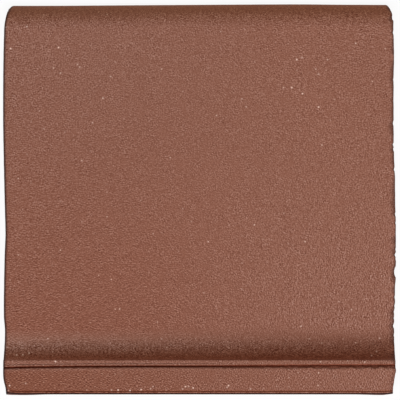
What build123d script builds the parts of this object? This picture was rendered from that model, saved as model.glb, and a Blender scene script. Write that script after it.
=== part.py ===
from build123d import *
import os

# Quarry tile cove base: red clay extruded as one section, wire cut at both ends and fired.
# It lies on its back with its face up. X runs along the wall that it is set on, Y up that wall
# and Z out of it. The origin is on the back, under the middle of the tile. All sizes are in mm.

# Overall size
TILE_WIDTH = 149.2
TILE_HEIGHT = 148.4
WALL_THICKNESS = 12.7

# Rounded top edge, a quarter ellipse that leaves a narrow flat at the back
NOSE_RISE = 9.0
TOP_LAND = 0.4

# Cove at the foot of the face, and the straight run from the cove to the end of the toe
COVE_RADIUS = 12.7
TOE_LAND = 1.0

# End face of the toe, from the underside up to the cove: lower lip, nick, flat, groove and lip
TOE_THICKNESS = 13.4
TOE_ROUND = 0.5
LOWER_LIP_WIDTH = 1.1
NICK_WIDTH = 0.6
NICK_DEPTH = 0.9
GROOVE_WIDTH = 1.3
GROOVE_FLOOR = 0.2
GROOVE_DEPTH = 2.3
LIP_WIDTH = 1.95
LIP_ROUND = 0.3

# Corners that the cutting wire dragged in, as the tile is seen from the front
CORNER_RUN = 8.4
CORNER_INSET = 2.5
TAPER_RUN = 6.9
TAPER_INSET = 1.1

# Heights up the tile, along Y
top = TILE_HEIGHT / 2
bottom = -top
nose_start = top - NOSE_RISE
cove_foot = bottom + TOE_THICKNESS
cove_head = cove_foot + COVE_RADIUS
lip_edge = cove_foot - LIP_WIDTH
groove_edge = lip_edge - GROOVE_WIDTH
nick_start = bottom + LOWER_LIP_WIDTH

# Depths out from the wall, along Z
face = WALL_THICKNESS
cove_rim = face + COVE_RADIUS
toe_end = cove_rim + TOE_LAND

# The side of the outline, along X
side = TILE_WIDTH / 2

with BuildPart() as tile:
    # The extruded section, drawn with Y across and Z up, and longer than the tile
    with BuildSketch(Plane.YZ) as section:
        with BuildLine():
            Polyline(
                (top, TOP_LAND),
                (top, 0),
                (bottom, 0),
                (bottom, toe_end),
                (nick_start, toe_end),
                (nick_start + NICK_WIDTH / 2, toe_end - NICK_DEPTH),
                (nick_start + NICK_WIDTH, toe_end),
                (groove_edge, toe_end),
                (lip_edge - GROOVE_FLOOR, toe_end - GROOVE_DEPTH),
                (lip_edge, toe_end - GROOVE_DEPTH),
                (lip_edge, toe_end),
                (cove_foot, toe_end),
                (cove_foot, cove_rim),
            )
            CenterArc((cove_head, cove_rim), COVE_RADIUS, 180, 90)
            Line((cove_head, face), (nose_start, face))
            EllipticalCenterArc((nose_start, TOP_LAND), NOSE_RISE, face - TOP_LAND, 0, arc_size=90)
        make_face()
        toe_corners = section.vertices().group_by(Axis.Y)[-1].sort_by(Axis.X)
        fillet(toe_corners[0], radius=TOE_ROUND)
        fillet(toe_corners[-1], radius=LIP_ROUND)
    extrude(amount=TILE_WIDTH, both=True)

    # The front outline that the wire left, run on past the top and the underside
    with BuildSketch(Plane.XY) as outline:
        with BuildLine():
            edge = Line((side, bottom + TAPER_RUN), (side, top - CORNER_RUN))
            corner = TangentArc(edge @ 1, (side - CORNER_INSET, top), tangent=edge % 1)
            past_top = Line(corner @ 1, corner @ 1 + (corner % 1) * CORNER_INSET)
            Line(past_top @ 1, (0, (past_top @ 1).Y))
            taper = Line(edge @ 0, (side - 2 * TAPER_INSET, bottom - TAPER_RUN))
            Line(taper @ 1, (0, bottom - TAPER_RUN))
            mirror(about=Plane.YZ)
        make_face()
    extrude(amount=2 * toe_end, both=True, mode=Mode.INTERSECT)

tile.part.label = "cove_base_tile"

os.makedirs("parts", exist_ok=True)
export_step(tile.part, "parts/cove_base_tile.step")
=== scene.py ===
import math

import bpy
import bmesh
import numpy as np
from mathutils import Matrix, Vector, noise
from mathutils.geometry import delaunay_2d_cdt


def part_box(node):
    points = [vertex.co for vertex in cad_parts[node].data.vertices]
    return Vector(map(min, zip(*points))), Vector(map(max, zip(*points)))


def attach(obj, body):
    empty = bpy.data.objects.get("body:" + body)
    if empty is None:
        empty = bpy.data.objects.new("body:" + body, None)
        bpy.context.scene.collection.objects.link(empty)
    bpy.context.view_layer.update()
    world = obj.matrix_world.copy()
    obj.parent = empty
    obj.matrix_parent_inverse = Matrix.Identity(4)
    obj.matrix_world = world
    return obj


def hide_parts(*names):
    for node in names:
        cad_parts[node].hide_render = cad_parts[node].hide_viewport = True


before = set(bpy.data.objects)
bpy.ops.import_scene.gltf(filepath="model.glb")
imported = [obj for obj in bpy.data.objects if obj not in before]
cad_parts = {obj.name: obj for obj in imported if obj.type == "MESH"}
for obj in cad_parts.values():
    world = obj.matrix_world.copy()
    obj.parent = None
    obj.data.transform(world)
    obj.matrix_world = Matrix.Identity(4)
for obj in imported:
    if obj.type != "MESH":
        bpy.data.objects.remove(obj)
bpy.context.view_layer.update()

# A red quarry tile cove base, lying on its back with its face up. X runs along the wall that it
# is set on, Y up that wall and Z out of it. Sizes of the tile are in millimetres, and MM turns
# them into the frame's metres.
MM = 0.001
NODE = "cove_base_tile"
low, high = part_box(NODE)
LEFT, RIGHT = low.x / MM, high.x / MM
FOOT, TOP = low.y / MM, high.y / MM
TOE_END = high.z / MM

# Section: wall, rounded top, cove and toe
WALL = 12.7
NOSE_RISE = 9.0
TOP_LAND = 0.1
COVE_RADIUS = 12.6
TOE_CLEARANCE = 0.15
TOE_FACE = TOE_END - TOE_CLEARANCE
TOE_THICKNESS = 13.36
LIP_WIDTH = 1.91
LIP_ROUND = 0.4
SCRATCH_RISE = 0.78
SCRATCH_WIDTH = 0.24
SCRATCH_DEPTH = 0.5
SCRATCH_FADE = (-45.0, 30.0)
GROOVE_DEPTH = 2.35
GROOVE_LEAN = 0.05
GROOVE_FLOOR = 0.2
GROOVE_MOUTH = 0.66
MOUTH_DROP = 0.45
MOUTH_EASE = 0.45
UNDERSIDE_RECESS = 0.31
NICK_RISE = 1.1
NICK_WIDTH = 0.5
NICK_DEPTH = 0.7
LOWER_LIP_DROP = 0.09
TOE_ROUND = 0.52

# Cut ends: (height up the tile, how far the end stands in from the widest place)
LEFT_CUT = [
    (74, 0.2), (65, 0.4), (58, 0.2), (33, 0.0), (20, 0.17), (0, 0.6), (-12, 0.9), (-20, 0.6),
    (-42, 0.28), (-49, 0.72), (-55, 0.55), (-62, 0.25), (-67, 0.3), (-74, 1.3),
]
RIGHT_CUT = [
    (74, 0.68), (66, 0.95), (60, 0.78), (54, 0.68), (46, 0.84), (30, 0.86), (18, 0.72), (6, 0.28),
    (-2, 0.25), (-8, 0.0), (-20, 0.0), (-30, 0.0), (-33, 0.3), (-41, 0.36), (-45, 0.66), (-54, 0.64),
    (-60, 0.38), (-63, 0.38), (-64.5, 0.15), (-66.3, 0.42), (-71, 1.15), (-74, 1.3),
]
LEFT_RIPPLE = 0.07
RIGHT_RIPPLE = 0.16
RIPPLE_LENGTH = 2.4
# Top corners: how far down the end the curve starts, its radius, and the rounding of its tip
LEFT_CORNER = (9.6, 18.0, 0.7)
RIGHT_CORNER = (6.9, 11.0, 0.4)
# Arrises, and chips out of the right one: (height, half length, depth)
FACE_ARRIS = 0.35
TOE_ARRIS = 0.08
CHIPS = [
    (69.4, 1.1, 0.6), (63.5, 0.8, 0.3), (45.5, 0.6, 0.2), (28.8, 1.0, 0.4), (20.6, 0.7, 0.5),
    (18.7, 0.7, 0.5), (11.1, 0.8, 0.35), (-6.1, 0.7, 0.5), (-9.2, 0.4, 0.35), (-19.4, 0.5, 0.3),
    (-21.5, 0.9, 0.65), (-22.9, 0.6, 0.4), (-28.0, 2.2, 0.95), (-37.6, 0.5, 0.3), (-40.8, 0.5, 0.25),
    (-43.0, 0.7, 0.4), (-45.6, 0.5, 0.25), (-48.4, 1.0, 0.55), (-51.7, 0.6, 0.3),
]
# How far a chip bites into the outline and reaches over the face, as shares of its depth
CHIP_BITE = 0.7
CHIP_REACH = 2.0
# Marks that the wire dragged along the cut ends
DRAG_DEPTH = 0.2
DRAG_WIDTH = 0.9
DRAG_STRETCH = 14.0

# Drift along the tile: (place from left to right, drop)
TOP_DRIFT = [
    (-75, 0.58), (-53, 0.56), (-38, 0.45), (0, 0.2), (22, 0.07), (38, 0.02), (53, 0.14), (75, 0.22),
]
GROOVE_DRIFT = [(-75, 0.7), (-66, 0.48), (-53, 0.29), (0, 0.06), (53, -0.3), (75, -0.35)]
TOE_DRIFT = [(-75, -0.7), (-71, -0.2), (-66, 0.0), (67, 0.0), (71, -0.1), (75, -0.5)]
FOOT_DRIFT = [
    (-75, 0.0), (-72, 0.25), (-66, 0.27), (-58, 0.05), (-50, 0.0), (60, 0.05), (69, 0.27), (75, -0.2),
]
# Size of the cove along the tile
COVE_DRIFT = [(-75, 0.89), (-50, 0.91), (0, 1.0), (50, 1.03), (75, 1.04)]
# Where the groove's lower edge is worn back, from left to right, and how far
WORN_FROM, WORN_TO = -25.0, 65.0
WORN_BACK, WORN_LEAST = 0.66, 0.04

# Relief of the clay
GRAIN_HEIGHT = 0.035
GRAIN_LENGTH = 1.7
SWELL_HEIGHT = 0.1
SWELL_LENGTH = 38.0
# Seeds of the noise in the cut ends, the painted shade along the edges and the relief, so that no two are
# alike
LEFT_RIPPLE_SEED, RIGHT_RIPPLE_SEED, EDGE_SHADE_SEED, DRAG_SEED = 3.3, 7.7, 6.6, 9.9
GRAIN_SEED, SWELL_SEED, WORN_SEED = 11.1, 5.5, 2.2

# Ramps of a weight over a stretch of the section, from its first row to its last. A weight is cut
# off at 0 and 1, so a ramp that goes past them is over before the stretch ends, or starts late.
RISING, FALLING = (0, 1), (1, 0)
SCRATCH_IN_RAMP, SCRATCH_OUT_RAMP = (0, 2), (2, 0)
WORN_TOE_RAMP = (1, -1)
DRIFT_TOE_RAMP, DRIFT_UNDERSIDE_RAMP = (-2, 1), (1, -3)
FOOT_RAMP = (0, 14)
COVE_RAMP, LATE_COVE_RAMP, DEEP_COVE_RAMP = (0, 4.7), (-0.35, 3.65), (-0.7, 3.3)
# Ramps of the painted shade deep in the cove and at the top of the nick
COVE_HOLLOW_SHADE_RAMP, NICK_HOLLOW_SHADE_RAMP = (-1, 1.7), (0.3, 1)
# The lip's ramp reaches over the top of the toe as a painted highlight below the groove
LIP_TOE_HIGHLIGHT_RAMP, TOE_RAMP = (1.5, -10.5), (-0.5, 11.5)
# Ramps of the painted shade and the painted light on the rounded top
NOSE_SHADE_RAMP, NOSE_EDGE_LIGHT_RAMP = (2.2, -0.2), (2.2, -1.8)
ROUGH_NOSE_IN_RAMP, ROUGH_NOSE_OUT_RAMP = (-3, 3), (5, 0)
GROOVE_SHADE_RAMP = (1, 0.3)
# The first is the ramp of the painted shadow at the foot's edge
FOOT_EDGE_SHADOW_RAMP, UNDERSIDE_RAMP = (1, -14), (0, 8)

# Spacing of the mesh, and the least points of a curve
FACE_STEP = 0.52
CURVE_STEP = 0.48
CURVE_LEAST = 3
TOE_STEP = 0.42
FINE_STEP = 0.17
STEEP_STEP = 0.34
SCRATCH_STEP = SCRATCH_WIDTH / 4
UNDERSIDE_STEP = 0.95
FIRST_COLUMN = 0.2
COLUMN_GROWTH = 1.25
COLUMN_STEP = 0.8
ARRIS_TURNS = np.radians([0, 30, 60])
CUT_STEP = 1.3
BACK_LINE_STEP = 1.9
BACK_STEP = 6.0
CLEAR_OF_EDGE = 0.6
TOUCH = 1e-6
SHARP_ANGLE = math.radians(42)
# The kind of triangulation that keeps to the inside of an outline
INSIDE_ONLY = 1

# Noise in the clay: the length of its grains, its contrast, its detail and its seed
FINE_LENGTH, FINE_CONTRAST, FINE_DETAIL, FINE_SEED = 0.25, 0.79, 0.0, 10.0
PATCH_LENGTH, PATCH_CONTRAST, PATCH_DETAIL, PATCH_SEED = 4.0, 1.7, 1.0, 4.0
MOTTLE_LENGTH, MOTTLE_CONTRAST, MOTTLE_DETAIL, MOTTLE_SEED = 5.0, 0.06, 2.0, 2.0
CLOUD_LENGTH, CLOUD_CONTRAST, CLOUD_DETAIL, CLOUD_SEED = 60.0, 0.05, 1.0, 3.0
NOISE_ROUGHNESS = 0.55
NOISE_MIDDLE = 0.5
# The fine grains are drawn out, along the tile, on a slant down to the right or up the tile: how
# long they are along their run, across it and in depth, and the turn of each run. The runs turn over
# the face as relief lit by a lamp at the lower left would.
FINE_RUN = (3.2, 1.0, 1.5)
RUN_TURNS = np.radians([0, -45, 90])
# The painted shade on one side of each grain: how far it lies across the run, and how dark it is
SHADE_STEP, SHADE = 0.36, 0.42
# From up the tile, -1, to along it, 1, at the corners of the face and in the cove
FOOT_LEFT_LEVEL, FOOT_RIGHT_LEVEL = 1.0, -0.8
TOP_LEFT_LEVEL, TOP_RIGHT_LEVEL = 0.1, 0.5
COVE_LEVEL = 0.35
# Share of the slant at the middle of its band, where that is across the tile, and half its width
SLANT_SHARE, SLANT_MIDDLE, SLANT_REACH = 0.3, 0.57, 0.38
# Where, across the tile, the face turns from its left run and tint to its right ones
FACE_TURN = (0.2, 0.85)

# Clay: the fired face and the dark of its grain, with their stops on a ramp, the light of its grain
# at the ramp's end, and pale grog
CLAY, CLAY_STOP = (0.253, 0.0976, 0.062, 1), 0.5
DARK_CLAY, DARK_STOP = (0.0985, 0.016, 0.004, 1), 0.1
LIGHT_CLAY = (0.505, 0.277, 0.218, 1)
GROG = (0.83, 0.58, 0.48, 1)
# Tints that the clay is multiplied by: at the corners of the face, at the left and right ends of the
# cove, the toe and the groove, and on the lip and the groove's wall. Several carry painted light and
# shade, as said where they stand.
# The face grows lighter to the right: partly drift in the clay and partly painted light from that side
TOP_LEFT_TINT, TOP_RIGHT_TINT = (0.974, 1.038, 1.073), (1.015, 1.029, 1.024)
FOOT_LEFT_TINT, FOOT_RIGHT_TINT = (0.947, 0.855, 0.798), (1.083, 1.13, 1.153)
# Painted shade in the cove: lighter at its left end, darker and redder at its right
COVE_LEFT_SHADE_TINT, COVE_RIGHT_SHADE_TINT = (1.19, 1.37, 1.46), (0.81, 0.73, 0.67)
# The lip's tint, which also makes the painted highlight at the top of the toe
LIP_TINT = (0.97, 0.99, 0.99)
# The toe grows lighter to the right: partly drift in the clay and partly painted light from that side
TOE_LEFT_TINT, TOE_RIGHT_TINT = (0.805, 0.67, 0.575), (1.05, 1.075, 1.085)
# Painted shade colour in the groove: redder, with less green and blue, more so at the left
GROOVE_LEFT_SHADE_TINT, GROOVE_RIGHT_SHADE_TINT = (1.5, 0.84, 0.54), (1.05, 0.68, 0.5)
# Painted shade that darkens the groove's wall
GROOVE_WALL_SHADE_TINT = (0.8, 0.72, 0.6)
# Tints of the rounded top and its edge, the hollows, the nick, the lower lip, the foot's edge, and
# the cut ends with the back. All but the last stand in for light and shade, as each one says.
# Painted shade over the rounded top, which turns away from the lamp: browner and darker
NOSE_SHADE_TINT = (0.96, 0.82, 0.64)
# Painted light on the outer edge of the rounded top
NOSE_EDGE_LIGHT_TINT = (1.13, 1.11, 1.03)
# Painted shade, redder and darker, deep in the cove and at the top of the nick
HOLLOW_SHADE_TINT = (0.98, 0.74, 0.6)
# Painted shade in the nick, redder and darker
NICK_SHADE_TINT = (1.0, 0.9, 0.77)
# Painted light on the lower lip, lighter than the lamps make that ledge
LOWER_LIP_LIGHT_TINT = (1.3, 1.22, 1.2)
# Painted shadow, nearly black, along the edge of the foot
FOOT_EDGE_SHADOW_TINT = (0.1, 0.06, 0.05)
CUT_TINT = (0.92, 0.84, 0.8)
# Painted shade along the cut edges, darker than the lamps make the rounded arrises, and its width, the
# share of it that is darkest at the left, and how much of it is lost on the toe at the right
LEFT_EDGE_SHADE_TINT, LEFT_EDGE_SHADE_WIDTH = (0.27, 0.26, 0.28), 1.15
RIGHT_EDGE_SHADE_TINT, RIGHT_EDGE_SHADE_WIDTH = (0.42, 0.38, 0.37), 1.7
LEFT_EDGE_SHADE_CORE, TOE_EDGE_SHADE_LOSS = 1 / 3, 0.5
# How much stronger the grain is than at the middle of the face, and the heights between which that
# changes towards the foot and the top
SIDE_COARSE, FOOT_COARSE, TOP_COARSE = 0.22, 0.22, 0.1
FOOT_COARSE_RUN, TOP_COARSE_RUN = (-45.0, 10.0), (25.0, 70.0)
NOSE_COARSE, COVE_TOP_COARSE, LIP_COARSE = 0.45, -0.45, 0.3
COVE_LEFT_COARSE, COVE_RIGHT_COARSE = 1.25, 1.05
TOE_LEFT_COARSE, TOE_RIGHT_COARSE = 0.7, 0.5
UNDERSIDE_COARSE = -0.5
# Share of grog on the face, and how much more of it there is in the cove and on the toe
GROG_SHARE = 0.09
COVE_GROG, TOE_GROG = 0.3, 0.25
# Grog: how far apart it lies, its size, the share of that which is palest, how few are strong, and
# the strength of the faintest and of the strongest
GROG_SPACING, GROG_RADIUS, GROG_CORE = 1.6, 0.38, 0.4
GROG_SKEW, GROG_FAINT, GROG_STRONG = 4.0, 0.15, 0.8
# The palest grains, on the face, the lip, the cove and the toe, and others nearly as pale: (x, y)
PALE_GRAINS = [
    (36.9, 53.0), (35.0, 42.4), (39.1, 40.1), (45.2, 35.0), (-53.5, 57.6), (-71.7, 57.2),
    (-54.5, -61.4), (-71.9, -70.5), (-30.8, -72.2), (-26.3, -72.4), (-22.1, -72.0), (-5.3, -70.9),
    (-2.4, -71.4), (11.0, -70.5), (-64.6, -58.3), (-69.3, -59.0), (-67.0, -58.9), (-72.3, -72.4),
]
OTHER_GRAINS = [
    (38.9, 53.8), (44.1, 49.4), (45.2, 47.5), (48.6, 53.0), (31.9, 42.4), (-55.4, 49.8),
    (-46.3, 51.2), (-45.5, 50.2), (-33.7, 46.6), (-40.6, 29.1), (-44.7, 14.7), (45.8, -61.5),
    (62.5, -61.6), (67.1, -57.7), (65.2, -59.2), (68.3, -52.8), (-65.8, -69.7), (-33.3, -72.2),
    (-18.5, -71.7), (-17.6, -70.9), (-4.1, -70.9), (-6.4, -71.8), (10.4, -71.2), (19.3, -71.8),
]
# How strong they are, and the radius of their core and of the whole grain
PALE_STRENGTH, OTHER_STRENGTH = 0.95, 0.5
PALE_CORE, PALE_RADIUS = 0.15, 0.42
# Fired surface: its bumps, its roughness at the low and the high of the grain's span, and its shine
BUMP_STRENGTH, BUMP_HEIGHT = 0.45, 0.06
ROUGH_SPAN = 0.2
ROUGH_LOW, ROUGH_HIGH = 0.78, 0.92
SPECULAR = 0.2

# Floor: how pale it is, how much of a shadow it keeps, its half size in metres, and the gap between
# it and the tile in millimetres
FLOOR_WHITE = 0.8
SHADOW_SHARE = 0.12
FLOOR_SIZE = 3.0
FLOOR_GAP = 0.05

# Light: a soft lamp that leans over the foot of the tile, in metres and watts, and the room's light
KEY_ANGLE = math.radians(22.2)
KEY_DISTANCE = 4.0
KEY_SIZE = (3.0, 1.5)
KEY_ENERGY = 128.0
KEY_COLOUR = (0.93, 1.0, 1.087)
AMBIENT = (1.14, 1.0, 0.82, 1)
AMBIENT_STRENGTH = 0.327

# Camera: the width of the wall face that the picture spans, and the place that it looks at. Its
# distance is in metres.
FRAME_WIDTH = 151.8
CAMERA_PLACE = (0.18, -0.27)
CAMERA_DISTANCE = 5.0
SENSOR = 36.0


def straight(start, end, step):
    """Points from start to end, about a step apart, without the last one."""
    count = max(1, math.ceil(math.dist(start, end) / step))
    share = np.arange(count)[:, None] / count
    return np.array(start) * (1 - share) + np.array(end) * share


def bend(centre, across, up, first, last, step):
    """Points along a quarter of an ellipse, about a step apart, without the last one."""
    count = max(CURVE_LEAST, math.ceil(max(across, up) * abs(last - first) / step))
    angle = first + (last - first) * np.arange(count) / count
    return np.stack([centre[0] + across * np.cos(angle), centre[1] + up * np.sin(angle)], axis=1)


class Section:
    """Points (y, z) from the top of the back over the face to the foot of the back, in named stretches."""

    def __init__(self):
        stretches = self.stretches()
        self.points = np.concatenate(list(stretches.values()))
        ends = np.cumsum([len(points) for points in stretches.values()])
        self.rows = {name: slice(end - len(stretches[name]), end) for name, end in zip(stretches, ends)}
        self.heights, self.depths = self.points.T

    @staticmethod
    def stretches():
        """The points of each stretch, by name and in order."""
        quarter = math.pi / 2
        nose_start = TOP - NOSE_RISE
        cove_foot = FOOT + TOE_THICKNESS
        cove_head = cove_foot + COVE_RADIUS
        cove_rim = WALL + COVE_RADIUS
        lip_edge = cove_foot - LIP_WIDTH
        scratch_start = (lip_edge + SCRATCH_RISE, TOE_FACE)
        scratch_end = (lip_edge + SCRATCH_RISE - SCRATCH_WIDTH, TOE_FACE)
        groove_deep = TOE_FACE - GROOVE_DEPTH
        groove_back = (lip_edge - GROOVE_LEAN, groove_deep)
        groove_front = (groove_back[0] - GROOVE_FLOOR, groove_deep)
        mouth = (lip_edge - GROOVE_MOUTH, TOE_FACE - MOUTH_DROP)
        toe_start = (mouth[0] - MOUTH_EASE, TOE_FACE)
        underside = FOOT + UNDERSIDE_RECESS
        nick = (underside + NICK_RISE, TOE_FACE - NICK_DEPTH)
        nick_start = (nick[0] + NICK_WIDTH / 2, TOE_FACE)
        lower_lip = (nick[0] - NICK_WIDTH / 2, TOE_FACE - LOWER_LIP_DROP)
        lip_centre = (cove_foot - LIP_ROUND, TOE_FACE - LIP_ROUND)
        toe_centre = (underside + TOE_ROUND, lower_lip[1] - TOE_ROUND)
        return {
            "land": straight((TOP, 0), (TOP, TOP_LAND), TOP_LAND),
            "nose": bend((nose_start, TOP_LAND), NOSE_RISE, WALL - TOP_LAND, 0, quarter, CURVE_STEP),
            "face": straight((nose_start, WALL), (cove_head, WALL), FACE_STEP),
            "cove": bend((cove_head, cove_rim), COVE_RADIUS, COVE_RADIUS, -quarter, -2 * quarter, CURVE_STEP),
            "rise": straight((cove_foot, cove_rim), (cove_foot, lip_centre[1]), STEEP_STEP),
            "lip_round": bend(lip_centre, LIP_ROUND, LIP_ROUND, 0, quarter, FINE_STEP),
            "lip": straight((lip_centre[0], TOE_FACE), scratch_start, FINE_STEP),
            "scratch": straight(scratch_start, scratch_end, SCRATCH_STEP),
            "lip_edge": straight(scratch_end, (lip_edge, TOE_FACE), FINE_STEP),
            "groove_wall": straight((lip_edge, TOE_FACE), groove_back, STEEP_STEP),
            "groove_floor": straight(groove_back, groove_front, FINE_STEP),
            "groove_side": straight(groove_front, mouth, FINE_STEP),
            "groove_ease": straight(mouth, toe_start, FINE_STEP),
            "toe": straight(toe_start, nick_start, TOE_STEP),
            "nick_top": straight(nick_start, nick, STEEP_STEP),
            "nick_foot": straight(nick, lower_lip, STEEP_STEP),
            "lower_lip": straight(lower_lip, (toe_centre[0], lower_lip[1]), FINE_STEP),
            "toe_round": bend(toe_centre, -TOE_ROUND, TOE_ROUND, quarter, 0, FINE_STEP),
            "underside": straight((underside, toe_centre[1]), (underside, 0), UNDERSIDE_STEP),
            "heel": np.array([(underside, 0)]),
        }

    def outward(self):
        """Unit normals (y, z) at the points, as two columns of rows."""
        along = np.gradient(self.points, axis=0)
        normal = np.stack([along[:, 1], -along[:, 0]], axis=1)
        normal /= np.linalg.norm(normal, axis=1, keepdims=True)
        return normal[:, :1], normal[:, 1:]

    def weight(self, *whole, **ramps):
        """A weight for each row: 1 over whole stretches, a ramp over others, and 0 elsewhere."""
        weight = np.zeros(len(self.points))
        for name in whole:
            weight[self.rows[name]] = 1
        for name, (first, last) in ramps.items():
            rows = self.rows[name]
            weight[rows] = np.linspace(first, last, rows.stop - rows.start)
        return np.clip(weight, 0, 1)[:, None]


def curve_through(points, places):
    """Values at some places of a smooth curve through (place, value) points."""
    at, value = np.array(sorted(points)).T
    rise = np.diff(value) / np.diff(at)
    turns = rise[1:] * rise[:-1] <= 0
    slope = np.pad(np.where(turns, 0, (rise[1:] + rise[:-1]) / 2), 1)
    i = np.clip(np.searchsorted(at, places) - 1, 0, len(at) - 2)
    span = at[i + 1] - at[i]
    t = np.clip((places - at[i]) / span, 0, 1)
    start = (1 - t) ** 2 * ((1 + 2 * t) * value[i] + t * span * slope[i])
    end = t**2 * ((3 - 2 * t) * value[i + 1] - (1 - t) * span * slope[i + 1])
    return start + end


def ease(start, end, places):
    """Rises smoothly from 0 at start to 1 at end."""
    t = np.clip((places - start) / (end - start), 0, 1)
    return t * t * (3 - 2 * t)


def between(first, second, share):
    """A number between two others at each place."""
    return first + share * (second - first)


def mixed(first, second, share):
    """A colour between two others at each place."""
    return between(np.asarray(first), np.asarray(second), share[..., None])


def bumps(points, length, seed):
    """Smooth noise from 0 to 1 at points in millimetres, with bumps about that long."""
    flat = points.reshape(-1, 3) / length + seed
    return np.array([0.5 + 0.5 * noise.noise(Vector(p)) for p in flat]).reshape(points.shape[:-1])


def corner_inset(drop, corner):
    """How far a dragged top corner stands in at a drop below the top edge."""
    run, radius, tip = corner
    curve = radius - np.sqrt(radius**2 - np.clip(run - drop, 0, run) ** 2)
    rounding = tip - np.sqrt(tip**2 - np.clip(tip - drop, 0, tip) ** 2)
    return curve + rounding


def chip_depth(heights):
    """Depth of the chips in the right arris at heights up the tile."""
    depth = np.zeros_like(heights)
    for place, half_length, deepest in CHIPS:
        depth = np.maximum(depth, deepest * (1 - ((heights - place) / half_length) ** 2))
    return depth


def cut_lines(heights):
    """X of the left and right cut ends at heights up the tile."""
    along = heights[:, None] * np.array([0, 1, 0])
    drop = np.clip(TOP - heights, 0, None)
    left = LEFT + curve_through(LEFT_CUT, heights) + corner_inset(drop, LEFT_CORNER)
    left += LEFT_RIPPLE * bumps(along, RIPPLE_LENGTH, LEFT_RIPPLE_SEED)
    right = RIGHT - curve_through(RIGHT_CUT, heights) - corner_inset(drop, RIGHT_CORNER)
    right -= RIGHT_RIPPLE * bumps(along, RIPPLE_LENGTH, RIGHT_RIPPLE_SEED)
    right -= CHIP_BITE * chip_depth(heights)
    return left, right


def column_shares():
    """Places from 0 to 1 between the two arrises, closer together near them."""
    half = (RIGHT - LEFT) / 2 - FACE_ARRIS
    places = [0.0]
    step = FIRST_COLUMN
    while places[-1] < half:
        places.append(places[-1] + step)
        step = min(step * COLUMN_GROWTH, COLUMN_STEP)
    left = np.array(places) / places[-1] / 2
    return np.concatenate([left, 1 - left[-2::-1]])


def scratch_depth(section, x):
    """Depth of the scratch along the lip, which fades from left to right."""
    trough = section.weight(scratch=SCRATCH_IN_RAMP) * section.weight(scratch=SCRATCH_OUT_RAMP)
    return trough * SCRATCH_DEPTH * (1 - ease(*SCRATCH_FADE, x))


def drift_down(section, place):
    """How far the top edge, the groove and the foot drift down, and the groove's lower edge is worn back."""
    x = place[..., 0]
    drop = ease(0, TOP, section.heights[:, None]) * curve_through(TOP_DRIFT, x)
    groove = section.weight(
        "scratch", "lip_edge", "groove_wall", "groove_floor", "groove_side", "groove_ease",
        lip=RISING, toe=FALLING,
    )
    drop += groove * curve_through(GROOVE_DRIFT, x)
    worn = section.weight("groove_ease", groove_side=RISING, toe=WORN_TOE_RAMP)
    worn = worn * np.maximum(WORN_BACK * ease(WORN_FROM, WORN_TO, x), WORN_LEAST)
    drop += worn * 2 * bumps(place, GRAIN_LENGTH, WORN_SEED)
    toe_edge = section.weight(
        "nick_top", "nick_foot", "lower_lip", "toe_round",
        toe=DRIFT_TOE_RAMP, underside=DRIFT_UNDERSIDE_RAMP,
    )
    drop += toe_edge * curve_through(TOE_DRIFT, x)
    drop += section.weight("heel", underside=FOOT_RAMP) * curve_through(FOOT_DRIFT, x)
    return drop


def sweep(section):
    """The surface from the top of the back round to the heel, as a grid of points, and masks for the clay."""
    heights, depths = section.heights[:, None], section.depths[:, None]
    left, right = [line[:, None] for line in cut_lines(section.heights)]

    # Columns go round each arris, and the rest are spread between them
    turns = len(ARRIS_TURNS)
    arris = np.where(heights > FOOT + TOE_THICKNESS, FACE_ARRIS, TOE_ARRIS)
    run_in = arris * (1 - np.cos(ARRIS_TURNS))
    inner = left + arris + (right - left - 2 * arris) * column_shares()
    x = np.hstack([left + run_in, inner, (right - run_in)[:, ::-1]])
    place = np.stack(np.broadcast_arrays(x, heights, depths), axis=2)

    # The surface is sunk by the relief of the clay, at the arrises, in the chips and in the scratch
    sunk = GRAIN_HEIGHT * bumps(place, GRAIN_LENGTH, GRAIN_SEED)
    swollen = section.weight("face", nose=RISING, cove=FALLING)
    sunk += swollen * SWELL_HEIGHT * bumps(place, SWELL_LENGTH, SWELL_SEED)
    fall = arris * (1 - np.sin(ARRIS_TURNS))
    sunk[:, :turns] += fall
    sunk[:, -turns:] += fall[:, ::-1]
    chip = chip_depth(section.heights)[:, None]
    sunk += chip * np.clip(1 - (right - x) / (CHIP_REACH * chip + TOUCH), 0, 1) ** 2
    sunk += scratch_depth(section, x)

    # The cove grows from its foot, and takes the end of the face with it
    growth = curve_through(COVE_DRIFT, x) - 1
    cove = section.weight("cove")
    rise_y = cove * (heights - FOOT - TOE_THICKNESS) + section.weight(face=RISING) * COVE_RADIUS
    rise_z = cove * (depths - WALL) + section.weight(rise=FALLING) * COVE_RADIUS

    normal_y, normal_z = section.outward()
    y = heights + growth * rise_y - sunk * normal_y - drift_down(section, place)
    z = depths + growth * rise_z - sunk * normal_z
    z[[0, -1]] = 0
    return np.stack([x, y, z], axis=2), clay_by_place(section, x, x - left, right - x)


class Areas:
    """Weights of the areas that differ in their colour or grain, for each row of the section."""

    def __init__(self, section):
        self.rough_nose = section.weight(nose=ROUGH_NOSE_IN_RAMP) * section.weight(nose=ROUGH_NOSE_OUT_RAMP)
        self.cove = section.weight("rise", cove=COVE_RAMP)
        self.late_cove = section.weight("rise", cove=LATE_COVE_RAMP)
        self.deep_cove = section.weight("rise", cove=DEEP_COVE_RAMP)
        # The lip reaches onto the toe: a painted highlight just below the groove
        self.lip = section.weight("lip_round", "lip", "scratch", "lip_edge", "groove_ease", toe=LIP_TOE_HIGHLIGHT_RAMP)
        self.toe = section.weight(
            "nick_top", "nick_foot", "lower_lip", "toe_round", "underside", "heel", toe=TOE_RAMP
        )
        self.underside = section.weight("heel", underside=UNDERSIDE_RAMP)
        self.end_face = self.toe * (1 - self.underside)


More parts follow.
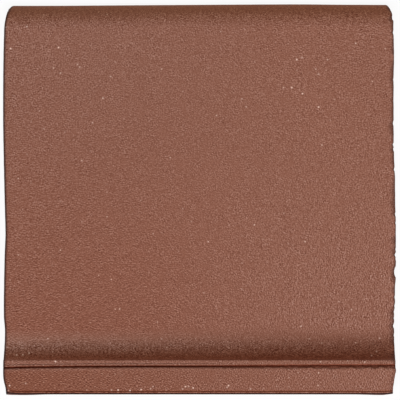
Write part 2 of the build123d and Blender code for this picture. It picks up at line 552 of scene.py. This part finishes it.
def clay_by_place(section, x, left_gap, right_gap):
    """Masks over the swept surface: the clay's tint with its painted light and shade, the strength of its
    grain, its grog and its run.
    """
    areas = Areas(section)
    across = (x - LEFT) / (RIGHT - LEFT)
    turned = ease(*FACE_TURN, across)
    up = np.broadcast_to((section.heights[:, None] - FOOT) / (TOP - FOOT), x.shape)
    tint_and_painted_light = area_tint(areas, turned, across, up) * painted_light_and_shade(section, across)
    tint_and_painted_light = tint_and_painted_light * edge_shade_tint(section, areas, left_gap, right_gap)
    grog = GROG_SHARE + COVE_GROG * areas.deep_cove + TOE_GROG * areas.end_face
    return {
        "tint_and_painted_light": tint_and_painted_light,
        "coarse": coarse_by_place(section, areas, across),
        "grog": np.broadcast_to(grog, x.shape),
        "run": runs_by_place(areas, turned, across, up),
    }


def area_tint(areas, turned, across, up):
    """Tint of the face, the cove, the lip and the toe, with painted shade in the cove, a painted highlight
    below the groove, and on the face and the toe partly painted light from the right.
    """
    tint_and_painted_light = mixed(FOOT_LEFT_TINT, FOOT_RIGHT_TINT, turned)
    tint_and_painted_light = mixed(tint_and_painted_light, mixed(TOP_LEFT_TINT, TOP_RIGHT_TINT, turned), ease(0, 1, up))
    cove = between(areas.cove, areas.late_cove, across)
    tint_and_painted_light = mixed(tint_and_painted_light, mixed(COVE_LEFT_SHADE_TINT, COVE_RIGHT_SHADE_TINT, across), cove)
    tint_and_painted_light = mixed(tint_and_painted_light, LIP_TINT, areas.lip)
    return mixed(tint_and_painted_light, mixed(TOE_LEFT_TINT, TOE_RIGHT_TINT, across), areas.toe)


def painted_light_and_shade(section, across):
    """Painted light and shade: on the rounded top, in the hollows, the groove and the nick, on the lower lip
    and at the foot's edge.
    """
    groove_shade_tint = mixed(GROOVE_LEFT_SHADE_TINT, GROOVE_RIGHT_SHADE_TINT, across)
    details = [
        (NOSE_SHADE_TINT, section.weight("land", nose=NOSE_SHADE_RAMP)),
        (NOSE_EDGE_LIGHT_TINT, section.weight("land", nose=NOSE_EDGE_LIGHT_RAMP)),
        (HOLLOW_SHADE_TINT, section.weight("rise", cove=COVE_HOLLOW_SHADE_RAMP, nick_top=NICK_HOLLOW_SHADE_RAMP)),
        (groove_shade_tint, section.weight("groove_floor", groove_side=GROOVE_SHADE_RAMP)),
        (GROOVE_WALL_SHADE_TINT, section.weight("groove_wall")),
        (NICK_SHADE_TINT, section.weight("nick_top", "nick_foot")),
        (FOOT_EDGE_SHADOW_TINT, section.weight("toe_round", underside=FOOT_EDGE_SHADOW_RAMP)),
        (LOWER_LIP_LIGHT_TINT, section.weight("lower_lip")),
    ]
    tint_and_painted_light = np.ones(3)
    for colour, weight in details:
        tint_and_painted_light = tint_and_painted_light * mixed(np.ones(3), colour, weight)
    return tint_and_painted_light


def edge_shade_tint(section, areas, left_gap, right_gap):
    """Painted shade along the cut edges, in a band that is ragged at the right."""
    along = section.heights[:, None, None] * np.array([0, 1, 0])
    ragged = 2 * bumps(along, RIPPLE_LENGTH, EDGE_SHADE_SEED)
    left = 1 - ease(LEFT_EDGE_SHADE_WIDTH * LEFT_EDGE_SHADE_CORE, LEFT_EDGE_SHADE_WIDTH, left_gap)
    right = (1 - TOE_EDGE_SHADE_LOSS * areas.toe) * (1 - ease(0, RIGHT_EDGE_SHADE_WIDTH, right_gap / (ragged + TOUCH)))
    return mixed(np.ones(3), LEFT_EDGE_SHADE_TINT, left) * mixed(np.ones(3), RIGHT_EDGE_SHADE_TINT, right)


def coarse_by_place(section, areas, across):
    """How strong the clay's grain is, where 1 is its strength at the middle of the face."""
    heights = section.heights[:, None]
    coarse = 1 + SIDE_COARSE * (2 * across - 1) ** 2
    coarse = coarse + FOOT_COARSE * (1 - ease(*FOOT_COARSE_RUN, heights))
    coarse = coarse + TOP_COARSE * ease(*TOP_COARSE_RUN, heights)
    coarse = coarse + NOSE_COARSE * areas.rough_nose + LIP_COARSE * areas.lip
    coarse = coarse + COVE_TOP_COARSE * areas.cove
    coarse = coarse + areas.deep_cove * between(COVE_LEFT_COARSE, COVE_RIGHT_COARSE, across)
    coarse = coarse + areas.end_face * between(TOE_LEFT_COARSE, TOE_RIGHT_COARSE, across)
    return coarse + UNDERSIDE_COARSE * areas.underside


def runs_by_place(areas, turned, across, up):
    """How much of the fine grain runs along the tile, on a slant and up the tile, with an even strength."""
    foot = between(FOOT_LEFT_LEVEL, FOOT_RIGHT_LEVEL, turned)
    top = between(TOP_LEFT_LEVEL, TOP_RIGHT_LEVEL, turned)
    level = between(between(foot, top, up), COVE_LEVEL, areas.deep_cove)
    slant = SLANT_SHARE * np.clip(1 - ((across - SLANT_MIDDLE) / SLANT_REACH) ** 2, 0, 1)
    shares = [(1 - slant) * (1 + level) / 2, slant, (1 - slant) * (1 - level) / 2]
    return np.sqrt(np.clip(np.stack(shares, axis=2), 0, 1))


def fill(outline, step):
    """Points added inside a closed outline, about a step apart, and the triangles that fill it."""
    axes = [np.arange(a + step / 2, b, step) for a, b in zip(outline.min(0), outline.max(0))]
    inside = np.stack([axis.ravel() for axis in np.meshgrid(*axes)], axis=1)
    gap = np.linalg.norm(inside[:, None] - outline[None], axis=2).min(1)
    inside = inside[gap > step * CLEAR_OF_EDGE]
    count = len(outline)
    points = [Vector(p) for p in np.concatenate([outline, inside])]
    loop = [(i, (i + 1) % count) for i in range(count)]
    _, _, triangles, source, _, _ = delaunay_2d_cdt(points, loop, [], INSIDE_ONLY, TOUCH)
    triangles = [[source[i][0] for i in triangle] for triangle in triangles]
    used = sorted({i for triangle in triangles for i in triangle if i >= count})
    number = {i: count + n for n, i in enumerate(used)}
    return inside[np.array(used) - count], [[number.get(i, i) for i in triangle] for triangle in triangles]


def cut_end(edge, side):
    """Fills a cut end, 0 or 1 for left or right, inside its edge and a line across the back.

    Gives the points that are added to those of the edge, the line's first, how many are on the
    line, and the triangles.
    """
    steps = round((TOP - FOOT) / BACK_LINE_STEP)
    heights = np.linspace(edge[-1, 1], edge[0, 1], steps)[1:-1]
    back_line = np.stack([heights, np.zeros_like(heights)], axis=1)
    inside, triangles = fill(np.concatenate([edge[:, 1:], back_line]), CUT_STEP)
    added = np.concatenate([back_line, inside])
    along = np.stack([added[:, 0] / DRAG_STRETCH, added[:, 1], np.zeros(len(added))], axis=1)
    inward = 1 - 2 * side
    x = cut_lines(added[:, 0])[side] + inward * DRAG_DEPTH * bumps(along, DRAG_WIDTH, DRAG_SEED + side)
    return np.column_stack([x, added]), len(back_line), triangles


def tile_mesh():
    """The tile as one closed mesh: the swept surface, two cut ends and the back."""
    section = Section()
    grid, masks = sweep(section)
    rows, columns = grid.shape[:2]
    number = np.arange(rows * columns).reshape(rows, columns)
    corners = [number[:-1, :-1], number[1:, :-1], number[1:, 1:], number[:-1, 1:]]
    faces = np.stack(corners, axis=2).reshape(-1, 4).tolist()
    points = [grid.reshape(-1, 3)]
    total = rows * columns

    # Each end column of the grid is the edge of a cut end
    back_lines = []
    for side, column in enumerate((0, columns - 1)):
        added, on_line, triangles = cut_end(grid[:, column], side)
        names = np.concatenate([number[:, column], total + np.arange(len(added))])
        faces += names[np.array(triangles)].tolist()
        back_lines.append(names[rows:rows + on_line])
        points.append(added)
        total += len(added)

    # The back is flat
    loop = np.concatenate([number[0], back_lines[1][::-1], number[-1][::-1], back_lines[0]])
    inside, triangles = fill(np.concatenate(points)[loop][:, :2], BACK_STEP)
    names = np.concatenate([loop, total + np.arange(len(inside))])
    faces += names[np.array(triangles)].tolist()
    points.append(np.column_stack([inside, np.zeros(len(inside))]))
    points = np.clip(np.concatenate(points), (LEFT, FOOT, 0), (RIGHT, TOP, TOE_END))

    # The cut ends and the back are of one even clay
    others = {"tint_and_painted_light": CUT_TINT, "coarse": 1.0, "grog": GROG_SHARE, "run": (1, 0, 0)}
    values = {}
    for name, value in masks.items():
        flat = value.reshape(rows * columns, -1)
        rest = np.broadcast_to(others[name], (len(points) - len(flat), flat.shape[1]))
        values[name] = np.concatenate([flat, rest])
    return points * MM, faces, values


def tile_body():
    """The tile's visible piece, with its masks as attributes."""
    points, faces, values = tile_mesh()
    mesh = bpy.data.meshes.new("tile_body")
    mesh.from_pydata(points.tolist(), [], faces)
    shape = bmesh.new()
    shape.from_mesh(mesh)
    bmesh.ops.recalc_face_normals(shape, faces=shape.faces)
    shape.to_mesh(mesh)
    shape.free()
    for name, value in values.items():
        kind, field = ("FLOAT_VECTOR", "vector") if value.shape[1] == 3 else ("FLOAT", "value")
        mesh.attributes.new(name, kind, "POINT").data.foreach_set(field, value.ravel().astype(np.float32))
    mesh.shade_smooth()
    mesh.set_sharp_from_angle(angle=SHARP_ANGLE)
    body = bpy.data.objects.new("tile_body", mesh)
    bpy.context.scene.collection.objects.link(body)
    return body


def add(tree, kind, inputs, **settings):
    """Adds a node with its settings, and sets or links its inputs, given by name or number."""
    node = tree.nodes.new(kind)
    for name, value in settings.items():
        setattr(node, name, value)
    for name, value in inputs.items():
        if isinstance(value, bpy.types.NodeSocket):
            tree.links.new(value, node.inputs[name])
        else:
            node.inputs[name].default_value = value
    return node


def calculate(tree, operation, *values):
    """The result of a Math node."""
    return add(tree, "ShaderNodeMath", dict(enumerate(values)), operation=operation).outputs[0]


def combine(tree, operation, *vectors):
    """The result of a Vector Math node, which is a number for a distance or a dot product."""
    node = add(tree, "ShaderNodeVectorMath", dict(enumerate(vectors)), operation=operation)
    return node.outputs["Value" if operation in ("DISTANCE", "DOT_PRODUCT") else "Vector"]


def blended(tree, share, first, second):
    """The result of a Mix node, whose colour sockets come after those for numbers and vectors."""
    return add(tree, "ShaderNodeMix", {0: share, 6: first, 7: second}, data_type="RGBA").outputs[2]


def remapped(tree, value, low, high, to_low, to_high):
    """The result of a Map Range node."""
    inputs = {"Value": value, "From Min": low, "From Max": high, "To Min": to_low, "To Max": to_high}
    return add(tree, "ShaderNodeMapRange", inputs).outputs[0]


def mask_of(tree, name, output):
    """One of the tile's masks, as a number with the output Fac or as three with Vector."""
    return add(tree, "ShaderNodeAttribute", {}, attribute_name=name).outputs[output]


def empty_material(name):
    """A material with nothing but its output, which is returned with its tree."""
    material = bpy.data.materials.new(name)
    material.use_nodes = True
    tree = material.node_tree
    tree.nodes.clear()
    return material, tree, tree.nodes.new("ShaderNodeOutputMaterial")


def grain(tree, place, length, detail, seed):
    """Noise from 0 to 1 with grains of that length in millimetres."""
    inputs = {
        "Vector": place,
        "Scale": 1 / (length * MM),
        "Detail": detail,
        "Roughness": NOISE_ROUGHNESS,
        "W": seed,
    }
    return add(tree, "ShaderNodeTexNoise", inputs, noise_dimensions="4D").outputs[0]


def drawn_grain(tree, place):
    """Fine grain about 0, drawn out along the tile, on a slant and up it as the run mask says, each grain
    with painted shade beside it.
    """
    ways = []
    for way, turn in enumerate(RUN_TURNS):
        inputs = {"Vector": place, "Rotation": (0, 0, turn), "Scale": FINE_RUN}
        run = add(tree, "ShaderNodeMapping", inputs, vector_type="TEXTURE").outputs[0]
        beside = combine(tree, "ADD", run, (0, SHADE_STEP * MM, 0))
        lit, shaded = [grain(tree, side, FINE_LENGTH, FINE_DETAIL, FINE_SEED + way) for side in (run, beside)]
        lit = calculate(tree, "SUBTRACT", lit, NOISE_MIDDLE * (1 - SHADE))
        ways.append(calculate(tree, "MULTIPLY_ADD", shaded, -SHADE, lit))
    ways = add(tree, "ShaderNodeCombineXYZ", dict(enumerate(ways))).outputs[0]
    return combine(tree, "DOT_PRODUCT", ways, mask_of(tree, "run", "Vector"))


def patchy_grain(tree, place):
    """The drawn grain, stronger in some patches than in others."""
    patch = grain(tree, place, PATCH_LENGTH, PATCH_DETAIL, PATCH_SEED)
    patch = remapped(tree, patch, 0, 1, 1 - PATCH_CONTRAST / 2, 1 + PATCH_CONTRAST / 2)
    return calculate(tree, "MULTIPLY", drawn_grain(tree, place), patch)


def grained_clay(tree, place, fine):
    """The clay's colour with its fine grain, its mottle and its clouds."""
    strength = calculate(tree, "MULTIPLY", mask_of(tree, "coarse", "Fac"), FINE_CONTRAST)
    ramp = add(tree, "ShaderNodeValToRGB", {0: calculate(tree, "MULTIPLY_ADD", fine, strength, CLAY_STOP)})
    stops = ramp.color_ramp.elements
    stops.new(CLAY_STOP)
    stops[0].position = DARK_STOP
    for stop, colour in zip(stops, (DARK_CLAY, CLAY, LIGHT_CLAY)):
        stop.color = colour
    mottle = grain(tree, place, MOTTLE_LENGTH, MOTTLE_DETAIL, MOTTLE_SEED)
    cloud = grain(tree, place, CLOUD_LENGTH, CLOUD_DETAIL, CLOUD_SEED)
    tone = 1 - (MOTTLE_CONTRAST + CLOUD_CONTRAST) / 2
    for pattern, contrast in ((mottle, MOTTLE_CONTRAST), (cloud, CLOUD_CONTRAST)):
        tone = calculate(tree, "MULTIPLY_ADD", pattern, contrast, tone)
    toned = add(tree, "ShaderNodeVectorMath", {0: ramp.outputs[0], "Scale": tone}, operation="SCALE")
    return toned.outputs[0]


def with_grog(tree, place, colour):
    """The colour with small pale grains, a few of them strong, in the share of cells that the mask says."""
    cells = add(tree, "ShaderNodeTexVoronoi", {"Vector": place, "Scale": 1 / (GROG_SPACING * MM)})
    random = add(tree, "ShaderNodeSeparateColor", {"Color": cells.outputs["Color"]})
    chosen = calculate(tree, "LESS_THAN", random.outputs[0], mask_of(tree, "grog", "Fac"))
    radius = GROG_RADIUS / GROG_SPACING
    spot = remapped(tree, cells.outputs["Distance"], radius * GROG_CORE, radius, 1, 0)
    strength = calculate(tree, "POWER", random.outputs[1], GROG_SKEW)
    strength = remapped(tree, strength, 0, 1, GROG_FAINT, GROG_STRONG)
    speck = calculate(tree, "MULTIPLY", calculate(tree, "MULTIPLY", chosen, spot), strength)
    return blended(tree, speck, colour, GROG)


def with_grains(tree, place, colour, grains, strength):
    """The colour with pale grains at places (x, y)."""
    flat = combine(tree, "MULTIPLY", place, (1, 1, 0))
    nearest = 1.0
    for x, y in grains:
        gap = combine(tree, "DISTANCE", flat, (x * MM, y * MM, 0))
        nearest = calculate(tree, "MINIMUM", gap, nearest)
    speck = remapped(tree, nearest, PALE_CORE * MM, PALE_RADIUS * MM, 1, 0)
    return blended(tree, calculate(tree, "MULTIPLY", speck, strength), colour, GROG)


def clay():
    """Fired red clay: an even brown red with a fine grain and pale grog, with painted shade along its edges
    and the painted light and shade of its tint mask.
    """
    material, tree, output = empty_material("fired_clay")
    place = add(tree, "ShaderNodeTexCoord", {}).outputs["Object"]
    fine = patchy_grain(tree, place)
    colour = with_grog(tree, place, grained_clay(tree, place, fine))
    # The tint brings in the painted light and shade as well as the clay's own tint
    colour = combine(tree, "MULTIPLY", colour, mask_of(tree, "tint_and_painted_light", "Vector"))
    colour = with_grains(tree, place, colour, PALE_GRAINS, PALE_STRENGTH)
    colour = with_grains(tree, place, colour, OTHER_GRAINS, OTHER_STRENGTH)
    bump = add(
        tree, "ShaderNodeBump", {"Height": fine, "Strength": BUMP_STRENGTH, "Distance": BUMP_HEIGHT * MM}
    )
    surface = {
        "Base Color": colour,
        "Roughness": remapped(tree, fine, -ROUGH_SPAN, ROUGH_SPAN, ROUGH_LOW, ROUGH_HIGH),
        "Specular IOR Level": SPECULAR,
        "Normal": bump.outputs[0],
    }
    shader = add(tree, "ShaderNodeBsdfPrincipled", surface)
    tree.links.new(shader.outputs[0], output.inputs[0])
    return material


def seen_directly(tree):
    """1 for rays from the camera, by way of reflections and glass too, and 0 for light on the object."""
    path = add(tree, "ShaderNodeLightPath", {})
    rays = calculate(tree, "MAXIMUM", path.outputs["Is Camera Ray"], path.outputs["Is Glossy Ray"])
    return calculate(tree, "MAXIMUM", rays, path.outputs["Is Transmission Ray"])


def grey(level):
    """A grey of that level."""
    return (level, level, level, 1)


def floor():
    """A white floor that keeps a faint shadow of the tile."""
    material, tree, output = empty_material("floor")
    plain = add(tree, "ShaderNodeBsdfDiffuse", {"Color": grey(FLOOR_WHITE)})
    faint = FLOOR_WHITE * SHADOW_SHARE
    shadow = add(tree, "ShaderNodeBsdfDiffuse", {"Color": grey(faint)})
    white = add(tree, "ShaderNodeEmission", {"Strength": 1 - faint})
    pale = add(tree, "ShaderNodeAddShader", {0: shadow.outputs[0], 1: white.outputs[0]})
    seen = add(tree, "ShaderNodeMixShader", {0: seen_directly(tree), 1: plain.outputs[0], 2: pale.outputs[0]})
    tree.links.new(seen.outputs[0], output.inputs[0])
    mesh = bpy.data.meshes.new("floor")
    corners = [(-1, -1), (1, -1), (1, 1), (-1, 1)]
    points = [(x * FLOOR_SIZE, y * FLOOR_SIZE, -FLOOR_GAP * MM) for x, y in corners]
    mesh.from_pydata(points, [], [(0, 1, 2, 3)])
    mesh.materials.append(material)
    sheet = bpy.data.objects.new("floor", mesh)
    bpy.context.scene.collection.objects.link(sheet)


def light():
    """A large soft lamp over the foot of the tile, and an even room light."""
    data = bpy.data.lights.new("key", "AREA")
    data.shape = "RECTANGLE"
    data.size, data.size_y = KEY_SIZE
    data.energy = KEY_ENERGY
    data.color = KEY_COLOUR
    lamp = bpy.data.objects.new("key", data)
    lamp.location = (0, -KEY_DISTANCE * math.sin(KEY_ANGLE), KEY_DISTANCE * math.cos(KEY_ANGLE))
    lamp.rotation_euler = (KEY_ANGLE, 0, 0)
    lamp.visible_camera = False
    bpy.context.scene.collection.objects.link(lamp)

    world = bpy.data.worlds.new("room")
    world.use_nodes = True
    tree = world.node_tree
    tree.nodes.clear()
    room = add(tree, "ShaderNodeBackground", {"Color": AMBIENT, "Strength": AMBIENT_STRENGTH})
    white = add(tree, "ShaderNodeBackground", {"Color": grey(1), "Strength": 1.0})
    both = add(tree, "ShaderNodeMixShader", {0: seen_directly(tree), 1: room.outputs[0], 2: white.outputs[0]})
    add(tree, "ShaderNodeOutputWorld", {0: both.outputs[0]})
    bpy.context.scene.world = world


def camera():
    """Looks straight down on the tile through a long lens."""
    data = bpy.data.cameras.new("camera")
    data.sensor_width = SENSOR
    data.lens = SENSOR * CAMERA_DISTANCE / (FRAME_WIDTH * MM)
    data.clip_end = 2 * CAMERA_DISTANCE
    view = bpy.data.objects.new("camera", data)
    view.location = (CAMERA_PLACE[0] * MM, CAMERA_PLACE[1] * MM, CAMERA_DISTANCE + WALL * MM)
    bpy.context.scene.collection.objects.link(view)
    bpy.context.scene.camera = view


body = tile_body()
body.data.materials.append(clay())
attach(body, "root")
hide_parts(NODE)
floor()
light()
camera()
bpy.context.scene.view_settings.view_transform = "Standard"
